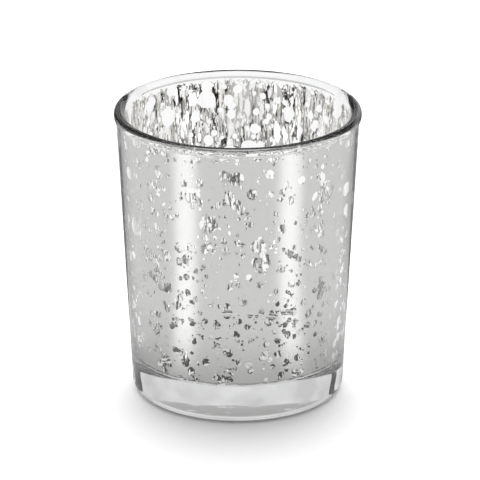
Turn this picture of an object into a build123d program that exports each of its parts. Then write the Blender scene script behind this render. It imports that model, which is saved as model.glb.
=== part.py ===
from build123d import *
import math
import os

# Tealight holder in two pieces: a pressed clear glass cup with a thick base, and the
# silver film that is laid over the cup's cavity, from its floor to just under the rim.
# Millimetres, +Z up. The origin is the middle of the base, on the surface it stands on.

# Cup, outside
HEIGHT = 67.0
RIM_RADIUS = 28.0  # over the bead at the rim
BEAD_HEIGHT = 1.65
NECK_RADIUS = 27.55  # wall just under the bead
NECK_HEIGHT = HEIGHT - 2.1
HEEL_RADIUS = 24.03  # where the wall's line meets the standing plane
HEEL_ROUND = 2.2
BEAD_ROUND = 0.45
LIP_OUTER_ROUND = 0.95
LIP_INNER_ROUND = 1.4
NECK_ROUND = 0.7

# Cup, underside
FOOT_INNER_RADIUS = 19.4  # edge of the hollow under the base
PUNT_RISE = 0.45
KNURL_COUNT = 72
KNURL_INNER_RADIUS = 20.2
KNURL_OUTER_RADIUS = 21.6
KNURL_WIDTH = 0.85
KNURL_DEPTH = 0.15

# Cavity
MOUTH_RADIUS = 25.5
FLOOR_HEIGHT = 8.4
FLOOR_RADIUS = 21.8  # where the cavity wall's line meets the floor
FLOOR_ROUND = 1.0

# Silver film
FILM_THICKNESS = 0.1
FILM_TOP = HEIGHT - 1.5

CAVITY_TILT = math.atan2(MOUTH_RADIUS - FLOOR_RADIUS, HEIGHT - FLOOR_HEIGHT)


def cavity_radius(height):
    """Radius of the cavity's tapered wall at a height, before the floor's rounding."""
    return FLOOR_RADIUS + (height - FLOOR_HEIGHT) * math.tan(CAVITY_TILT)


def turned(outline):
    """Solid of revolution about Z from closed edges drawn as (radius, height)."""
    return revolve(Plane.XZ * make_face(outline), axis=Axis.Z)


def cup_blank():
    """The glass as one turned solid: punt, foot, wall, rim bead, cavity wall and floor."""
    punt = TangentArc((0, PUNT_RISE), (FOOT_INNER_RADIUS, 0), tangent=(1, 0))
    skin = FilletPolyline(
        (FOOT_INNER_RADIUS, 0),
        (HEEL_RADIUS, 0),
        (NECK_RADIUS, NECK_HEIGHT),
        (RIM_RADIUS, HEIGHT - BEAD_HEIGHT),
        (RIM_RADIUS, HEIGHT),
        (MOUTH_RADIUS, HEIGHT),
        (FLOOR_RADIUS, FLOOR_HEIGHT),
        (0, FLOOR_HEIGHT),
        radius=[HEEL_ROUND, NECK_ROUND, BEAD_ROUND, LIP_OUTER_ROUND, LIP_INNER_ROUND, FLOOR_ROUND],
    )
    axis_line = Line((0, FLOOR_HEIGHT), (0, PUNT_RISE))
    return turned(punt + skin + axis_line)


def knurl_grooves():
    """Short radial grooves, evenly spaced round the foot's bearing ring."""
    length = KNURL_OUTER_RADIUS - KNURL_INNER_RADIUS
    middle = (KNURL_OUTER_RADIUS + KNURL_INNER_RADIUS) / 2
    groove = Box(length, KNURL_WIDTH, 2 * KNURL_DEPTH)
    return [place * groove for place in PolarLocations(middle, KNURL_COUNT)]


def glass_cup():
    """The pressed glass cup with its knurled foot."""
    return cup_blank() - knurl_grooves()


def film_face(inset):
    """Floor, rounded corner and wall of the cavity, moved into the cavity by inset."""
    wall_inset = inset / math.cos(CAVITY_TILT)
    floor = FLOOR_HEIGHT + inset
    return FilletPolyline(
        (0, floor),
        (cavity_radius(floor) - wall_inset, floor),
        (cavity_radius(FILM_TOP) - wall_inset, FILM_TOP),
        radius=[FLOOR_ROUND - inset],
    )


def silver_lining():
    """The silver film as a thin closed shell that touches the glass all over."""
    glass_side = film_face(0)
    open_side = film_face(FILM_THICKNESS)
    top_edge = Line(glass_side @ 1, open_side @ 1)
    axis_line = Line(glass_side @ 0, open_side @ 0)
    return turned(glass_side + top_edge + open_side + axis_line)


os.makedirs("parts", exist_ok=True)
export_step(glass_cup(), "parts/glass_cup.step")
export_step(silver_lining(), "parts/silver_lining.step")
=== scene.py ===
import math

import bpy
import numpy as np
from mathutils import Matrix, Vector, geometry


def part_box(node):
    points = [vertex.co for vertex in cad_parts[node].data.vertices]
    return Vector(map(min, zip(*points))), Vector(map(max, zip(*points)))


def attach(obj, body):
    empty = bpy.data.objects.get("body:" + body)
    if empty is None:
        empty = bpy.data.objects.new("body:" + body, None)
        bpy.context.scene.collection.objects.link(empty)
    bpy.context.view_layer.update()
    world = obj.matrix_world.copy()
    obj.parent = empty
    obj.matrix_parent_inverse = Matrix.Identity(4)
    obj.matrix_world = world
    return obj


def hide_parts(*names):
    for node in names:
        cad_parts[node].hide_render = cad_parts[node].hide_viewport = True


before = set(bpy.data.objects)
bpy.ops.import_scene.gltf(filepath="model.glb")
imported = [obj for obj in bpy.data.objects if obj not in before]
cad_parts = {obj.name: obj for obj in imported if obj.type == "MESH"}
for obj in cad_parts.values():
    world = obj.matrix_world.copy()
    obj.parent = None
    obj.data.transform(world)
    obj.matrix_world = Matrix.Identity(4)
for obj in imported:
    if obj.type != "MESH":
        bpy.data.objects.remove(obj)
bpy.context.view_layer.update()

# ---------------------------------------------------------------------------------------------
# Glass cup: one piece of clear soda glass, pressed in a mould by a plunger. The mould leaves a
# thick base, a knurled ring on the foot and a faint ripple on the wall. The rim is fire polished.

MM = 0.001
cup_low, cup_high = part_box("glass_cup")
height = (cup_high.z - cup_low.z) / MM
rim_radius = (cup_high.x - cup_low.x) / 2 / MM
lining_low, lining_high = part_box("silver_lining")
floor_height = lining_low.z / MM
film_top = lining_high.z / MM

neck_radius = 27.55
heel_radius = 24.03
mouth_radius = 25.5
floor_radius = 21.8
floor_round = 1.0
foot_inner_radius = 19.4
punt_rise = 0.45
heel_round = 2.2
neck_round = 0.7
bead_round = 0.45
lip_outer_round = 0.95
lip_inner_round = 1.4
cavity_tilt = math.atan2(mouth_radius - floor_radius, height - floor_height)
steepest = math.pi / 2 - cavity_tilt
flat_radius = floor_radius - floor_round * math.tan(steepest / 2)


def cavity_curve(length, inset=0.0):
    """Radius, height and inward normal of the cavity, by distance along it from the floor's middle.

    The curve is a flat floor, then an arc that turns through the wall's angle, then a straight
    wall. A point is moved off the glass by inset along the normal, which leans from up to inward.
    """
    turn = np.clip((length - flat_radius) / floor_round, 0, steepest)
    rest = np.clip(length - flat_radius - floor_round * steepest, 0, None)
    normal_r = -np.sin(turn)
    normal_z = np.cos(turn)
    radius = np.minimum(length, flat_radius) + floor_round * np.sin(turn) + rest * math.sin(cavity_tilt)
    level = floor_height + floor_round * (1 - np.cos(turn)) + rest * math.cos(cavity_tilt)
    return radius + inset * normal_r, level + inset * normal_z, normal_r, normal_z


def wall_length(level):
    """Distance along the cavity curve from the floor's middle to a height on the straight wall.

    It is the flat part, plus the arc, plus the height above the arc over the cosine of the tilt.
    """
    arc_top = floor_height + floor_round * (1 - math.cos(steepest))
    return flat_radius + floor_round * steepest + (level - arc_top) / math.cos(cavity_tilt)


def rounded_line(corners, rounds, arc_steps, run_step):
    """Points along a bent line whose inner corners are arcs of the given radii.

    Each arc starts at radius times tan(half the turn) before its corner and ends as far after it.
    Straight runs are divided into steps no longer than run_step.
    """
    corners = [np.array(c, float) for c in corners]
    pieces = [corners[0][None, :]]
    for before, corner, after, radius in zip(corners, corners[1:], corners[2:], rounds):
        way_in = (corner - before) / np.linalg.norm(corner - before)
        way_out = (after - corner) / np.linalg.norm(after - corner)
        turn = math.atan2(way_in[0] * way_out[1] - way_in[1] * way_out[0], way_in @ way_out)
        side = np.array([-way_in[1], way_in[0]]) * math.copysign(1, turn)
        start = corner - way_in * radius * math.tan(abs(turn) / 2)
        angle = np.linspace(0, abs(turn), arc_steps)[:, None]
        arc = start + radius * (way_in * np.sin(angle) + side * (1 - np.cos(angle)))
        pieces.append(arc)
    pieces.append(corners[-1][None, :])
    line = [pieces[0]]
    for last, piece in zip(pieces, pieces[1:]):
        gap = np.linalg.norm(piece[0] - last[-1])
        count = max(1, math.ceil(gap / run_step))
        share = np.linspace(0, 1, count + 1)[1:-1, None]
        line += [last[-1] + share * (piece[0] - last[-1]), piece]
    return np.concatenate(line)


def cup_outline():
    """The glass's closed section from the underside's middle, round the rim, to the floor's middle.

    The underside is a shallow dome, punt_rise times one minus the square of the radius's share.
    """
    share = np.linspace(0, 1, 14)[:-1]
    punt = np.stack([share * foot_inner_radius, punt_rise * (1 - share**2)], 1)
    skin = rounded_line(
        [
            (foot_inner_radius, 0),
            (heel_radius, 0),
            (neck_radius, height - 2.1),
            (rim_radius, height - 1.65),
            (rim_radius, height),
            (mouth_radius, height),
            (floor_radius, floor_height),
        ],
        [heel_round, neck_round, bead_round, lip_outer_round, lip_inner_round],
        arc_steps=13,
        run_step=1.3,
    )[:-1]
    lip_end = wall_length(skin[-1, 1])
    runs = np.concatenate(
        [
            np.arange(lip_end - 1.5, flat_radius + floor_round * steepest, -1.5),
            flat_radius + floor_round * steepest * np.linspace(1, 0, 13),
            np.linspace(flat_radius, 0, 9)[1:],
        ]
    )
    radius, level, _, _ = cavity_curve(runs)
    return np.concatenate([punt, skin, np.stack([radius, level], 1)])


knurl_count = 72
knurl_depth = 0.15
knurl_inner_radius = 20.1
knurl_outer_radius = 21.7
knurl_edge = 0.2
ripple_depth = 0.03


def turned_grid(outline, turns):
    """Grid of points: each outline point carried once round Z.

    On the foot's bearing ring the height rises by knurl_depth times a rounded square wave of the
    angle, which presses the grooves. On the wall the radius shrinks by ripple_depth times one plus
    half of a sum of three slow waves in angle and height, which fades out at heel and bead.
    """
    angle = np.linspace(0, 2 * math.pi, turns, endpoint=False)[None, :]
    radius = outline[:, :1] + 0 * angle
    level = outline[:, 1:] + 0 * angle
    ring = np.clip((radius - knurl_inner_radius) / knurl_edge, 0, 1)
    ring = ring * np.clip((knurl_outer_radius - radius) / knurl_edge, 0, 1) * (level < 0.2)
    wave = np.clip(0.5 + 1.6 * np.cos(knurl_count * angle), 0, 1)
    level = level + knurl_depth * ring * wave
    outside = np.arange(len(outline))[:, None] < np.argmax(outline[:, 1])
    fade = np.clip((level - 4) / 8, 0, 1) * np.clip((height - 4 - level) / 6, 0, 1) * outside
    ripple = (
        np.sin(5 * angle + 0.9 + level / 19)
        + 0.6 * np.sin(11 * angle + 2.1 - level / 23)
        + 0.35 * np.sin(23 * angle + 0.4 + level / 31)
    )
    radius = radius - ripple_depth * fade * (1 + 0.5 * ripple)
    return radius * np.cos(angle), radius * np.sin(angle), level


def closed_mesh(name, x, y, z):
    """Mesh from a grid that closes round in its second direction, with a point at each end."""
    rows, turns = x.shape
    points = np.stack([x[1:-1], y[1:-1], z[1:-1]], -1).reshape(-1, 3)
    ends = np.array([[0, 0, z[0, 0]], [0, 0, z[-1, 0]]])
    points = np.concatenate([points, ends]) * MM
    index = np.arange((rows - 2) * turns).reshape(rows - 2, turns)
    near, far = index[:-1], index[1:]
    quads = np.stack([near, np.roll(near, -1, 1), np.roll(far, -1, 1), far], -1).reshape(-1, 4)
    first = np.stack([np.full(turns, index.size), np.roll(index[0], -1), index[0]], -1)
    last = np.stack([np.full(turns, index.size + 1), index[-1], np.roll(index[-1], -1)], -1)
    mesh = bpy.data.meshes.new(name)
    mesh.from_pydata(points.tolist(), [], quads.tolist() + first.tolist() + last.tolist())
    mesh.update()
    mesh.shade_smooth()
    return mesh


def placed(name, mesh, *materials):
    """A new object at the origin that holds the mesh, with its materials in order."""
    piece = bpy.data.objects.new(name, mesh)
    bpy.context.scene.collection.objects.link(piece)
    for material in materials:
        mesh.materials.append(material)
    return piece


def clear_glass():
    """Clear pressed glass: faint handling marks in the gloss and a very low, slow surface wave."""
    material = bpy.data.materials.new("clear_pressed_glass")
    material.use_nodes = True
    nodes, links = material.node_tree.nodes, material.node_tree.links
    shader = nodes["Principled BSDF"]
    shader.inputs["Base Color"].default_value = (0.985, 0.99, 0.988, 1)
    shader.inputs["Transmission Weight"].default_value = 1.0
    shader.inputs["IOR"].default_value = 1.51
    place = nodes.new("ShaderNodeTexCoord")
    smear = nodes.new("ShaderNodeTexNoise")
    smear.inputs["Scale"].default_value = 55.0
    smear.inputs["Detail"].default_value = 6.0
    links.new(place.outputs["Object"], smear.inputs["Vector"])
    gloss = nodes.new("ShaderNodeMapRange")
    gloss.inputs["From Min"].default_value = 0.45
    gloss.inputs["From Max"].default_value = 0.75
    gloss.inputs["To Min"].default_value = 0.0
    gloss.inputs["To Max"].default_value = 0.035
    links.new(smear.outputs["Fac"], gloss.inputs["Value"])
    links.new(gloss.outputs["Result"], shader.inputs["Roughness"])
    swell = nodes.new("ShaderNodeTexNoise")
    swell.inputs["Scale"].default_value = 120.0
    links.new(place.outputs["Object"], swell.inputs["Vector"])
    bump = nodes.new("ShaderNodeBump")
    bump.inputs["Strength"].default_value = 0.25
    bump.inputs["Distance"].default_value = 0.00002
    links.new(swell.outputs["Fac"], bump.inputs["Height"])
    links.new(bump.outputs["Normal"], shader.inputs["Normal"])
    return material


cup_turns = 432  # six steps to each groove of the foot
cup_mesh = closed_mesh("glass_cup_pressed", *turned_grid(cup_outline(), cup_turns))
cup = placed("glass_cup_pressed", cup_mesh, clear_glass())
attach(cup, "root")
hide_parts("glass_cup")

# ---------------------------------------------------------------------------------------------
# Silver lining: mirror film laid wet on the cavity. Drops of water kept it off the glass while it
# set, so it is full of round clear flecks, and its top edge under the rim is ragged.

glass_side_inset = -0.02
open_side_inset = 0.05
chance = np.random.default_rng(20)
film_end = wall_length(film_top)


def spot_outlines(length, angle, radius, stretch, wobble, points):
    """Closed outlines of clear spots: ellipses that lean by chance, whose radius wavers round them.

    Each is an array of distances along the cavity curve and one of angles about the cup's axis.
    """
    count = len(length)
    around = np.linspace(0, 2 * math.pi, points, endpoint=False)[None, :]
    phase = chance.uniform(0, 2 * math.pi, (3, count, 1))
    waver = 0.5 * np.sin(2 * around + phase[0]) + 0.35 * np.sin(3 * around + phase[1])
    waver = 1 + wobble * (waver + 0.3 * np.sin(5 * around + phase[2]))
    along = radius[:, None] * waver * np.cos(around) * stretch
    across = radius[:, None] * waver * np.sin(around)
    lean = chance.normal(0, 0.45, (count, 1))
    up = along * np.cos(lean) - across * np.sin(lean)
    side = along * np.sin(lean) + across * np.cos(lean)
    here = np.maximum(cavity_curve(length)[0], 0.6)
    return list(zip(length[:, None] + up, angle[:, None] + side / here[:, None]))


wall_middle_radius = 23.5


def scattered(count):
    """Random places on the film, even by area: distance along the curve and angle.

    One in five of those on the back half is turned over to the front half, which is denser.
    """
    wall_start = flat_radius + floor_round * steepest
    wall_area = 2 * wall_middle_radius * (film_end - wall_start)
    wall_share = wall_area / (wall_area + wall_start**2)
    on_wall = chance.uniform(0, 1, count) < wall_share
    length = np.where(
        on_wall,
        chance.uniform(wall_start, film_end, count),
        wall_start * np.sqrt(chance.uniform(0.004, 1, count)),
    )
    angle = chance.uniform(0, 2 * math.pi, count)
    to_front = (angle < math.pi) & (chance.uniform(0, 1, count) < 0.2)
    return length, np.where(to_front, -angle, angle)


def spot_sizes(middle, spread, count, least=0.0, most=math.inf):
    """Spot radii: the middle radius times e to a normal chance of the given spread, kept in bounds."""
    return np.clip(middle * np.exp(chance.normal(0, spread, count)), least, most)


spots = []
# round pools, most of them in the upper third
pools = 150
pool_length = film_end - 27 * chance.uniform(0, 1, pools) ** 1.25
pool_radius = spot_sizes(1.0, 0.5, pools, 0.4, 2.4)
pool_angle = chance.uniform(0, 2 * math.pi, pools)
spots += spot_outlines(pool_length, pool_angle, pool_radius, 1.1, 0.08, 22)
# drops all over
drops = 1350
drop_length, drop_angle = scattered(drops)
spots += spot_outlines(drop_length, drop_angle, spot_sizes(0.36, 0.5, drops, 0.14, 1.15), 1.2, 0.13, 13)
# larger drops on the lower half
low_drops = 260
low_length = wall_length(10.5) + 34 * chance.uniform(0, 1, low_drops)
low_radius = spot_sizes(0.5, 0.4, low_drops, 0.25, 1.1)
spots += spot_outlines(low_length, scattered(low_drops)[1], low_radius, 1.2, 0.14, 14)
# spatter: groups of small bits, few of them near the rim
groups = 170
bits = 10
group_length, group_angle = scattered(groups)
bit_length = (group_length[:, None] + chance.normal(0, 0.8, (groups, bits))).ravel()
bit_angle = (group_angle[:, None] + chance.normal(0, 0.6, (groups, bits)) / 23).ravel()
bit_radius = spot_sizes(0.2, 0.45, groups * bits)
keep = (bit_length > 2) & (bit_length < film_end - 20 * chance.uniform(0, 1, groups * bits) ** 0.5)
spots += spot_outlines(bit_length[keep], bit_angle[keep], bit_radius[keep], 1.3, 0.35, 8)
# eroded band just under the rim
chips = 420
chip_length = film_end - np.abs(chance.normal(0, 1.3, chips))
chip_radius = spot_sizes(0.26, 0.5, chips)
chip_angle = chance.uniform(0, 2 * math.pi, chips)
spots += spot_outlines(chip_length, chip_angle, chip_radius, 0.7, 0.3, 9)
# dust, none of it in the upper third
specks = 900
speck_length, speck_angle = scattered(specks)
speck_length = speck_length * (film_end - 22) / film_end
spots += spot_outlines(speck_length, speck_angle, spot_sizes(0.11, 0.3, specks), 1.1, 0.2, 6)


def film_sheet():
    """The film cut flat, as triangles, with its spots left out.

    The flat place of a point is its distance along the curve, laid off at its angle, so the sheet
    is one disc with the floor's middle at its centre. Its ragged rim is a sum of sines of the
    angle. Loose points in rings fill it, and a constrained triangulation cuts it.
    """
    ring_angle = np.linspace(0, 2 * math.pi, 900, endpoint=False)
    ragged = film_end - 0.5 + 0.25 * np.sin(7 * ring_angle + 1) * np.sin(3 * ring_angle)
    ragged = ragged + 0.3 * np.sin(41 * ring_angle) * np.sin(13 * ring_angle + 2)
    ragged = np.minimum(ragged + 0.25 * np.sin(97 * ring_angle + 1), film_end - 0.05)
    outlines = [(ragged, ring_angle)]
    for spot_length, spot_angle in spots:
        if spot_length.min() > 0.3 and spot_length.max() < film_end + 4:
            outlines.append((spot_length, spot_angle))
    fill_lengths, fill_angles = [np.zeros(1)], [np.zeros(1)]
    for length in np.arange(1.5, film_end - 1.6, 1.5):
        here = cavity_curve(np.array([length]))[0][0]
        count = max(8, int(2 * math.pi * here / 1.3))
        fill_lengths.append(np.full(count, length))
        fill_angles.append(np.linspace(0, 2 * math.pi, count, endpoint=False) + 0.3 * length)
    length = np.concatenate([o[0] for o in outlines] + fill_lengths)
    angle = np.concatenate([o[1] for o in outlines] + fill_angles)
    flat = np.stack([length * np.cos(angle), length * np.sin(angle)], 1)
    starts = np.cumsum([0] + [len(o[0]) for o in outlines])
    faces = [list(range(a, b)) for a, b in zip(starts, starts[1:])]
    points, _, triangles, _, _, owners = geometry.delaunay_2d_cdt(
        [Vector(p) for p in flat], [], faces, 0, 1e-5, True
    )
    kept = [t for t, owner in zip(triangles, owners) if len(owner) == 1 and owner[0] == 0]
    return np.array([tuple(p) for p in points]), np.array(kept)


flat, triangles = film_sheet()


def film_mesh(name, flat, triangles):
    """Closed shell from the flat sheet: one face on the glass, one on the cavity, and cut edges.

    Every flat point goes back to the cavity curve by its distance and angle. An edge that only one
    triangle has is a cut, and gets a four-sided face between the two sides.
    """
    used, triangles = np.unique(triangles, return_inverse=True)
    triangles = triangles.reshape(-1, 3)
    flat = flat[used]
    a, b, c = (flat[triangles[:, k]] for k in range(3))
    turned_over = np.cross(b - a, c - a) < 0
    triangles[turned_over] = triangles[turned_over][:, ::-1]
    length = np.hypot(flat[:, 0], flat[:, 1])
    angle = np.arctan2(flat[:, 1], flat[:, 0])
    sides = []
    for inset in (glass_side_inset, open_side_inset):
        radius, level, normal_r, normal_z = cavity_curve(length, inset)
        sides.append(np.stack([radius * np.cos(angle), radius * np.sin(angle), level], 1))
    normals = np.stack([normal_r * np.cos(angle), normal_r * np.sin(angle), normal_z], 1)
    count = len(flat)
    edges = np.concatenate([triangles[:, [0, 1]], triangles[:, [1, 2]], triangles[:, [2, 0]]])
    keys = np.sort(edges, 1) @ np.array([count, 1])
    _, where, times = np.unique(keys, return_index=True, return_counts=True)
    cut = edges[where[times == 1]]
    quads = np.stack([cut[:, 1], cut[:, 0], cut[:, 0] + count, cut[:, 1] + count], 1)
    # cavity side keeps the flat sheet's turn, glass side is turned over
    faces = (triangles + count).tolist() + triangles[:, ::-1].tolist() + quads[:, ::-1].tolist()
    mesh = bpy.data.meshes.new(name)
    mesh.from_pydata((np.concatenate(sides) * MM).tolist(), [], faces)
    mesh.update()
    number = len(triangles)
    slots = np.zeros(len(faces), np.int32)
    slots[number : 2 * number] = 1
    mesh.polygons.foreach_set("material_index", slots)
    mesh.shade_smooth()
    loops = np.zeros((len(mesh.loops), 3))
    open_loops = triangles.reshape(-1)
    loops[: 3 * number] = normals[open_loops]
    loops[3 * number : 6 * number] = -normals[triangles[:, ::-1].reshape(-1)]
    edge_normals = np.zeros(len(mesh.polygons) * 3)
    mesh.polygons.foreach_get("normal", edge_normals)
    loops[6 * number :] = np.repeat(edge_normals.reshape(-1, 3)[2 * number :], 4, 0)
    mesh.normals_split_custom_set(loops.tolist())
    return mesh


def shader_group(name, inputs, outputs):
    """An empty shader group with the named sockets, and its two end nodes."""
    tree = bpy.data.node_groups.new(name, "ShaderNodeTree")
    for label, kind in inputs:
        tree.interface.new_socket(label, in_out="INPUT", socket_type=kind)
    for label, kind in outputs:
        tree.interface.new_socket(label, in_out="OUTPUT", socket_type=kind)
    return tree, tree.nodes.new("NodeGroupInput"), tree.nodes.new("NodeGroupOutput")


def silver_skin_group():
    """A coat of silver as it dries: one cloudy noise mixes two tints and sets the gloss between two
    values, and a slower noise, as high as the relief, lifts the skin in waves.
    """
    tree, given, result = shader_group(
        "silver_skin",
        [
            ("Dark Tint", "NodeSocketColor"),
            ("Light Tint", "NodeSocketColor"),
            ("Gloss Low", "NodeSocketFloat"),
            ("Gloss High", "NodeSocketFloat"),
            ("Relief", "NodeSocketFloat"),
        ],
        [("Color", "NodeSocketColor"), ("Roughness", "NodeSocketFloat"), ("Normal", "NodeSocketVector")],
    )
    nodes, links = tree.nodes, tree.links
    place = nodes.new("ShaderNodeTexCoord")
    cloud = nodes.new("ShaderNodeTexNoise")
    cloud.inputs["Scale"].default_value = 220.0
    cloud.inputs["Detail"].default_value = 5.0
    links.new(place.outputs["Object"], cloud.inputs["Vector"])
    tint = nodes.new("ShaderNodeMix")
    tint.data_type = "RGBA"
    links.new(cloud.outputs["Fac"], tint.inputs[0])
    links.new(given.outputs["Dark Tint"], tint.inputs[6])
    links.new(given.outputs["Light Tint"], tint.inputs[7])
    links.new(tint.outputs[2], result.inputs["Color"])
    gloss = nodes.new("ShaderNodeMapRange")
    links.new(cloud.outputs["Fac"], gloss.inputs["Value"])
    links.new(given.outputs["Gloss Low"], gloss.inputs["To Min"])
    links.new(given.outputs["Gloss High"], gloss.inputs["To Max"])
    links.new(gloss.outputs["Result"], result.inputs["Roughness"])
    wave = nodes.new("ShaderNodeTexNoise")
    wave.inputs["Scale"].default_value = 420.0
    wave.inputs["Detail"].default_value = 1.0
    links.new(place.outputs["Object"], wave.inputs["Vector"])
    bump = nodes.new("ShaderNodeBump")
    links.new(given.outputs["Relief"], bump.inputs["Distance"])
    links.new(wave.outputs["Fac"], bump.inputs["Height"])
    links.new(bump.outputs["Normal"], result.inputs["Normal"])
    return tree


silver_skin = silver_skin_group()


def silver(name, color, low, high, relief):
    """Silver film: bright metal with the dried skin, whose dark tint is 0.94 of its colour."""
    material = bpy.data.materials.new(name)
    material.use_nodes = True
    nodes, links = material.node_tree.nodes, material.node_tree.links
    shader = nodes["Principled BSDF"]
    shader.inputs["Metallic"].default_value = 1.0
    skin = nodes.new("ShaderNodeGroup")
    skin.node_tree = silver_skin
    skin.inputs["Dark Tint"].default_value = (*[c * 0.94 for c in color], 1)
    skin.inputs["Light Tint"].default_value = (*color, 1)
    skin.inputs["Gloss Low"].default_value = low
    skin.inputs["Gloss High"].default_value = high
    skin.inputs["Relief"].default_value = relief
    links.new(skin.outputs["Color"], shader.inputs["Base Color"])
    links.new(skin.outputs["Roughness"], shader.inputs["Roughness"])
    links.new(skin.outputs["Normal"], shader.inputs["Normal"])
    return material


lining = placed(
    "silver_film",
    film_mesh("silver_film", flat, triangles),
    silver("silver_cavity_side", (0.95, 0.945, 0.935), 0.01, 0.03, 0.000004),
    silver("silver_glass_side", (0.63, 0.625, 0.62), 0.1, 0.2, 0.000003),
)
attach(lining, "root")
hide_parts("silver_lining")

# ---------------------------------------------------------------------------------------------
# Table: a matt white sheet. Glass and silver see it instead as a glow with painted light and shade:
# a painted contact shadow near the cup, and a painted pale strip left and right of the front.


def stage_material(name, color):
    """Plain matt material without any shine."""
    material = bpy.data.materials.new(name)
    material.use_nodes = True
    shader = material.node_tree.nodes["Principled BSDF"]
    shader.inputs["Base Color"].default_value = (*color, 1)
    shader.inputs["Roughness"].default_value = 0.9
    shader.inputs["Specular IOR Level"].default_value = 0.0
    return material


def math_node(tree, operation, *values):
    """The output of a Math node whose inputs are numbers or other nodes' outputs."""
    node = tree.nodes.new("ShaderNodeMath")
    node.operation = operation
    for socket, value in zip(node.inputs, values):
        if isinstance(value, (int, float)):
            socket.default_value = value
        else:
            tree.links.new(value, socket)
    return node.outputs[0]


def sum_of_squares(tree, x, y):
    """x squared plus y squared, as nodes."""
    return math_node(tree, "ADD", math_node(tree, "POWER", x, 2.0), math_node(tree, "POWER", y, 2.0))


def ramp_node(tree, value, start, end, low, high):
    """A soft step: low before start, high after end, and an S-shaped rise between them."""
    node = tree.nodes.new("ShaderNodeMapRange")
    node.interpolation_type = "SMOOTHSTEP"
    for socket, number in zip(node.inputs[1:5], (start, end, low, high)):
        socket.default_value = number
    tree.links.new(value, node.inputs["Value"])
    return node.outputs["Result"]


def table_material():
    """Matt white where it is looked at, and a glow with painted light and shade where the glass and the
    silver show it.

    The glow rises with the distance from the cup, which is a painted contact shadow. A painted light
    band on each side of the front adds to it, and a painted shadow sector on each side of the back takes
    away. Bearings are counted from the front, both ways.
    """
    material = stage_material("white_table", (0.98, 0.98, 0.98))
    tree = material.node_tree
    position = tree.nodes.new("ShaderNodeNewGeometry").outputs["Position"]
    axes = tree.nodes.new("ShaderNodeSeparateXYZ")
    tree.links.new(position, axes.inputs[0])
    x, y = axes.outputs["X"], axes.outputs["Y"]
    away = math_node(tree, "SQRT", sum_of_squares(tree, x, y))
    forward = math_node(tree, "MULTIPLY", y, -1.0)
    bearing = math_node(tree, "ARCTAN2", math_node(tree, "ABSOLUTE", x), forward)
    # painted contact shadow: the glow dims towards the cup, to 0.5 at its foot in front and 0.22 behind
    front_painted_shadow = ramp_node(tree, away, 0.024, 0.07, 0.5, 1.0)
    back_painted_shadow = ramp_node(tree, away, 0.029, 0.05, 0.22, 0.9)
    behind = math_node(tree, "GREATER_THAN", y, 0.0)
    even = math_node(tree, "MAXIMUM", front_painted_shadow, math_node(tree, "MULTIPLY", behind, back_painted_shadow))
    # painted shade under the foot: the glow is 0.8 under the middle and falls to 0.4 at the heel
    even = math_node(tree, "MAXIMUM", even, ramp_node(tree, away, 0.019, 0.0235, 0.8, 0.4))
    # painted light: a pale strip left and right of the front, as strip lights would throw on the table
    painted_light_strip = math_node(
        tree,
        "MULTIPLY",
        ramp_node(tree, bearing, math.radians(34), math.radians(47), 0.0, 1.0),
        ramp_node(tree, bearing, math.radians(55), math.radians(68), 1.0, 0.0),
    )
    painted_light_strip = math_node(tree, "MULTIPLY", painted_light_strip, ramp_node(tree, away, 0.034, 0.06, 0.0, 0.62))
    # painted shadow: the cup's shadow, a dark sector on each side of the back
    shadow = math_node(
        tree,
        "MULTIPLY",
        ramp_node(tree, bearing, math.radians(136), math.radians(146), 0.0, 1.0),
        ramp_node(tree, bearing, math.radians(154), math.radians(160), 1.0, 0.0),
    )
    shadow = math_node(tree, "SUBTRACT", 1.0, math_node(tree, "MULTIPLY", shadow, 0.8))
    # the table's painted light and shade, as a glow that only the glass and the silver see
    glow = math_node(tree, "MULTIPLY", math_node(tree, "ADD", even, painted_light_strip), shadow)
    emission = tree.nodes.new("ShaderNodeEmission")
    tree.links.new(glow, emission.inputs["Strength"])
    seen = tree.nodes.new("ShaderNodeLightPath").outputs["Is Camera Ray"]
    choice = tree.nodes.new("ShaderNodeMixShader")
    tree.links.new(seen, choice.inputs[0])
    tree.links.new(emission.outputs[0], choice.inputs[1])
    tree.links.new(tree.nodes["Principled BSDF"].outputs[0], choice.inputs[2])
    tree.links.new(choice.outputs[0], tree.nodes["Material Output"].inputs["Surface"])
    material.cycles.emission_sampling = "NONE"
    return material


table_mesh = bpy.data.meshes.new("table")
table_half = 3.0
table_level = -2e-5  # a hair under the foot, so that the two faces don't fight
table_signs = [(-1, -1), (1, -1), (1, 1), (-1, 1)]
table_corners = [(x * table_half, y * table_half, table_level) for x, y in table_signs]
table_mesh.from_pydata(table_corners, [], [(0, 1, 2, 3)])
table = placed("table", table_mesh, table_material())

# ---------------------------------------------------------------------------------------------
# Studio: paper screens round the table, which only the glass and the silver show, and a white dome
# that lights the table, strongest from behind and from straight above.

screen_distance = 0.8


def paper_folds_group():
    """Light through paper: a slow noise, stretched and kept between 0.86 and 1.14, as a grey."""
    tree, _, result = shader_group("paper_folds", [], [("Color", "NodeSocketColor")])
    nodes, links = tree.nodes, tree.links
    place = nodes.new("ShaderNodeTexCoord")
    fold = nodes.new("ShaderNodeTexNoise")
    fold.inputs["Scale"].default_value = 5.0
    fold.inputs["Detail"].default_value = 4.0
    links.new(place.outputs["Object"], fold.inputs["Vector"])
    grey = nodes.new("ShaderNodeMapRange")
    grey.inputs["From Min"].default_value = 0.35
    grey.inputs["From Max"].default_value = 0.65
    grey.inputs["To Min"].default_value = 0.86
    grey.inputs["To Max"].default_value = 1.14
    links.new(fold.outputs["Fac"], grey.inputs["Value"])
    links.new(grey.outputs["Result"], result.inputs["Color"])
    return tree


paper_folds = paper_folds_group()


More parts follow.
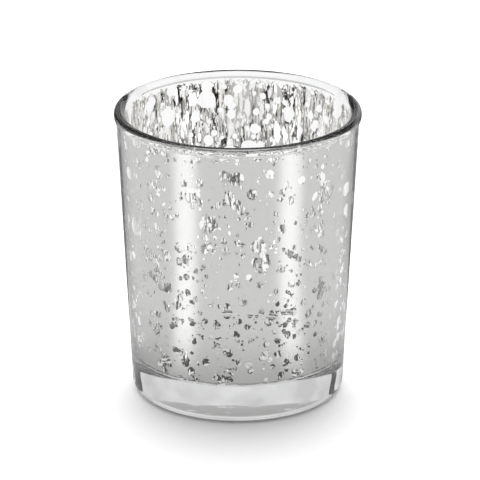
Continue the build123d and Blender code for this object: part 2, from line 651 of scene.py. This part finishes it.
def glowing_paper(name, glow):
    """Black material that glows by the given strength times the paper's folds."""
    material = stage_material(name, (0, 0, 0))
    nodes, links = material.node_tree.nodes, material.node_tree.links
    shader = nodes["Principled BSDF"]
    shader.inputs["Emission Strength"].default_value = glow
    folds = nodes.new("ShaderNodeGroup")
    folds.node_tree = paper_folds
    links.new(folds.outputs["Color"], shader.inputs["Emission Color"])
    return material


def screen(name, start, end, low, high, glow, in_glass, in_silver):
    """A glowing screen bent round the cup, screen_distance away.

    It stands between two bearings, counted from the back towards the right, and between two
    heights, all in degrees as seen from the cup. It shows through the glass, in the silver or both.
    """
    bearing = np.radians(np.linspace(start, end, 25))[:, None]
    level = screen_distance * np.tan(np.radians([low, high]))[None, :] + 0.03
    x = screen_distance * np.sin(bearing) + 0 * level
    y = screen_distance * np.cos(bearing) + 0 * level
    points = np.stack([x, y, level + 0 * bearing], -1).reshape(-1, 3)
    first = np.arange(24) * 2
    quads = np.stack([first, first + 2, first + 3, first + 1], 1)
    mesh = bpy.data.meshes.new(name)
    mesh.from_pydata(points.tolist(), [], quads.tolist())
    piece = placed(name, mesh, glowing_paper(name, glow))
    piece.visible_camera = False
    piece.visible_diffuse = False
    piece.visible_shadow = False
    piece.visible_transmission = in_glass
    piece.visible_glossy = in_silver


screen("back_screen", -53, 59, 2, 29, 0.68, True, False)
screen("left_screen", 246, 298, 2, 31, 0.9, True, False)
screen("front_screen", 122, 240, 2, 32, 0.8, True, False)
screen("right_screen", 78, 116, 2, 31, 1.35, True, False)
screen("silver_back_screen", 6, 50, 2, 25, 0.8, False, True)
screen("silver_right_screen", 84, 112, 2, 25, 1.35, False, True)
screen("silver_front_screen", 128, 300, 8, 25, 0.68, False, True)

world = bpy.data.worlds.new("studio")
bpy.context.scene.world = world
world.use_nodes = True
tree = world.node_tree
direction = tree.nodes.new("ShaderNodeNewGeometry").outputs["Position"]
axes = tree.nodes.new("ShaderNodeSeparateXYZ")
tree.links.new(direction, axes.inputs[0])
x, y, z = axes.outputs
level_square = math_node(tree, "MAXIMUM", sum_of_squares(tree, x, y), 0.0001)
# the dome is strongest at the back, by its bearing's cosine squared, then at the sides, then on top
backward = math_node(tree, "POWER", math_node(tree, "MAXIMUM", y, 0.0), 2.0)
backward = math_node(tree, "DIVIDE", backward, level_square)
sideways = math_node(tree, "DIVIDE", math_node(tree, "POWER", x, 2.0), level_square)
sideways = math_node(tree, "POWER", sideways, 2.0)
from_back = math_node(tree, "MULTIPLY", backward, 4.0)
from_sides = math_node(tree, "MULTIPLY", sideways, 1.2)
dome = math_node(tree, "ADD", from_back, from_sides)
dome = math_node(tree, "ADD", dome, ramp_node(tree, z, 0.88, 0.99, 0.0, 2.45))
path = tree.nodes.new("ShaderNodeLightPath")
from_table = math_node(tree, "MULTIPLY", path.outputs["Is Diffuse Ray"], dome)
straight = math_node(tree, "MULTIPLY", path.outputs["Is Camera Ray"], 1.05)
ceiling = ramp_node(tree, z, 0.84, 0.92, 0.02, 0.7)
wide_ceiling = ramp_node(tree, z, 0.71, 0.77, 0.0, 0.8)
in_glass = math_node(tree, "MULTIPLY", path.outputs["Is Transmission Ray"], wide_ceiling)
light = math_node(tree, "MAXIMUM", math_node(tree, "ADD", from_table, straight), ceiling)
light = math_node(tree, "MAXIMUM", light, in_glass)
tree.links.new(light, tree.nodes["Background"].inputs["Strength"])
tree.nodes["Background"].inputs["Color"].default_value = (1, 1, 1, 1)

scene = bpy.context.scene
scene.view_settings.view_transform = "Standard"
scene.cycles.max_bounces = 48
scene.cycles.glossy_bounces = 32
scene.cycles.transmission_bounces = 48

camera_distance = 1.0
camera_rise = math.radians(20.9)
aim = Vector((0.0005, 0, height * MM / 2 + 0.0017))
lens = bpy.data.cameras.new("camera")
lens.sensor_width = 36
lens.lens = 329
lens.clip_end = 20
camera = bpy.data.objects.new("camera", lens)
scene.collection.objects.link(camera)
away = Vector((0, -math.cos(camera_rise), math.sin(camera_rise)))
turn = away.to_track_quat("Z", "Y").to_matrix().to_4x4()
camera.matrix_world = Matrix.Translation(aim + away * camera_distance) @ turn
scene.camera = camera
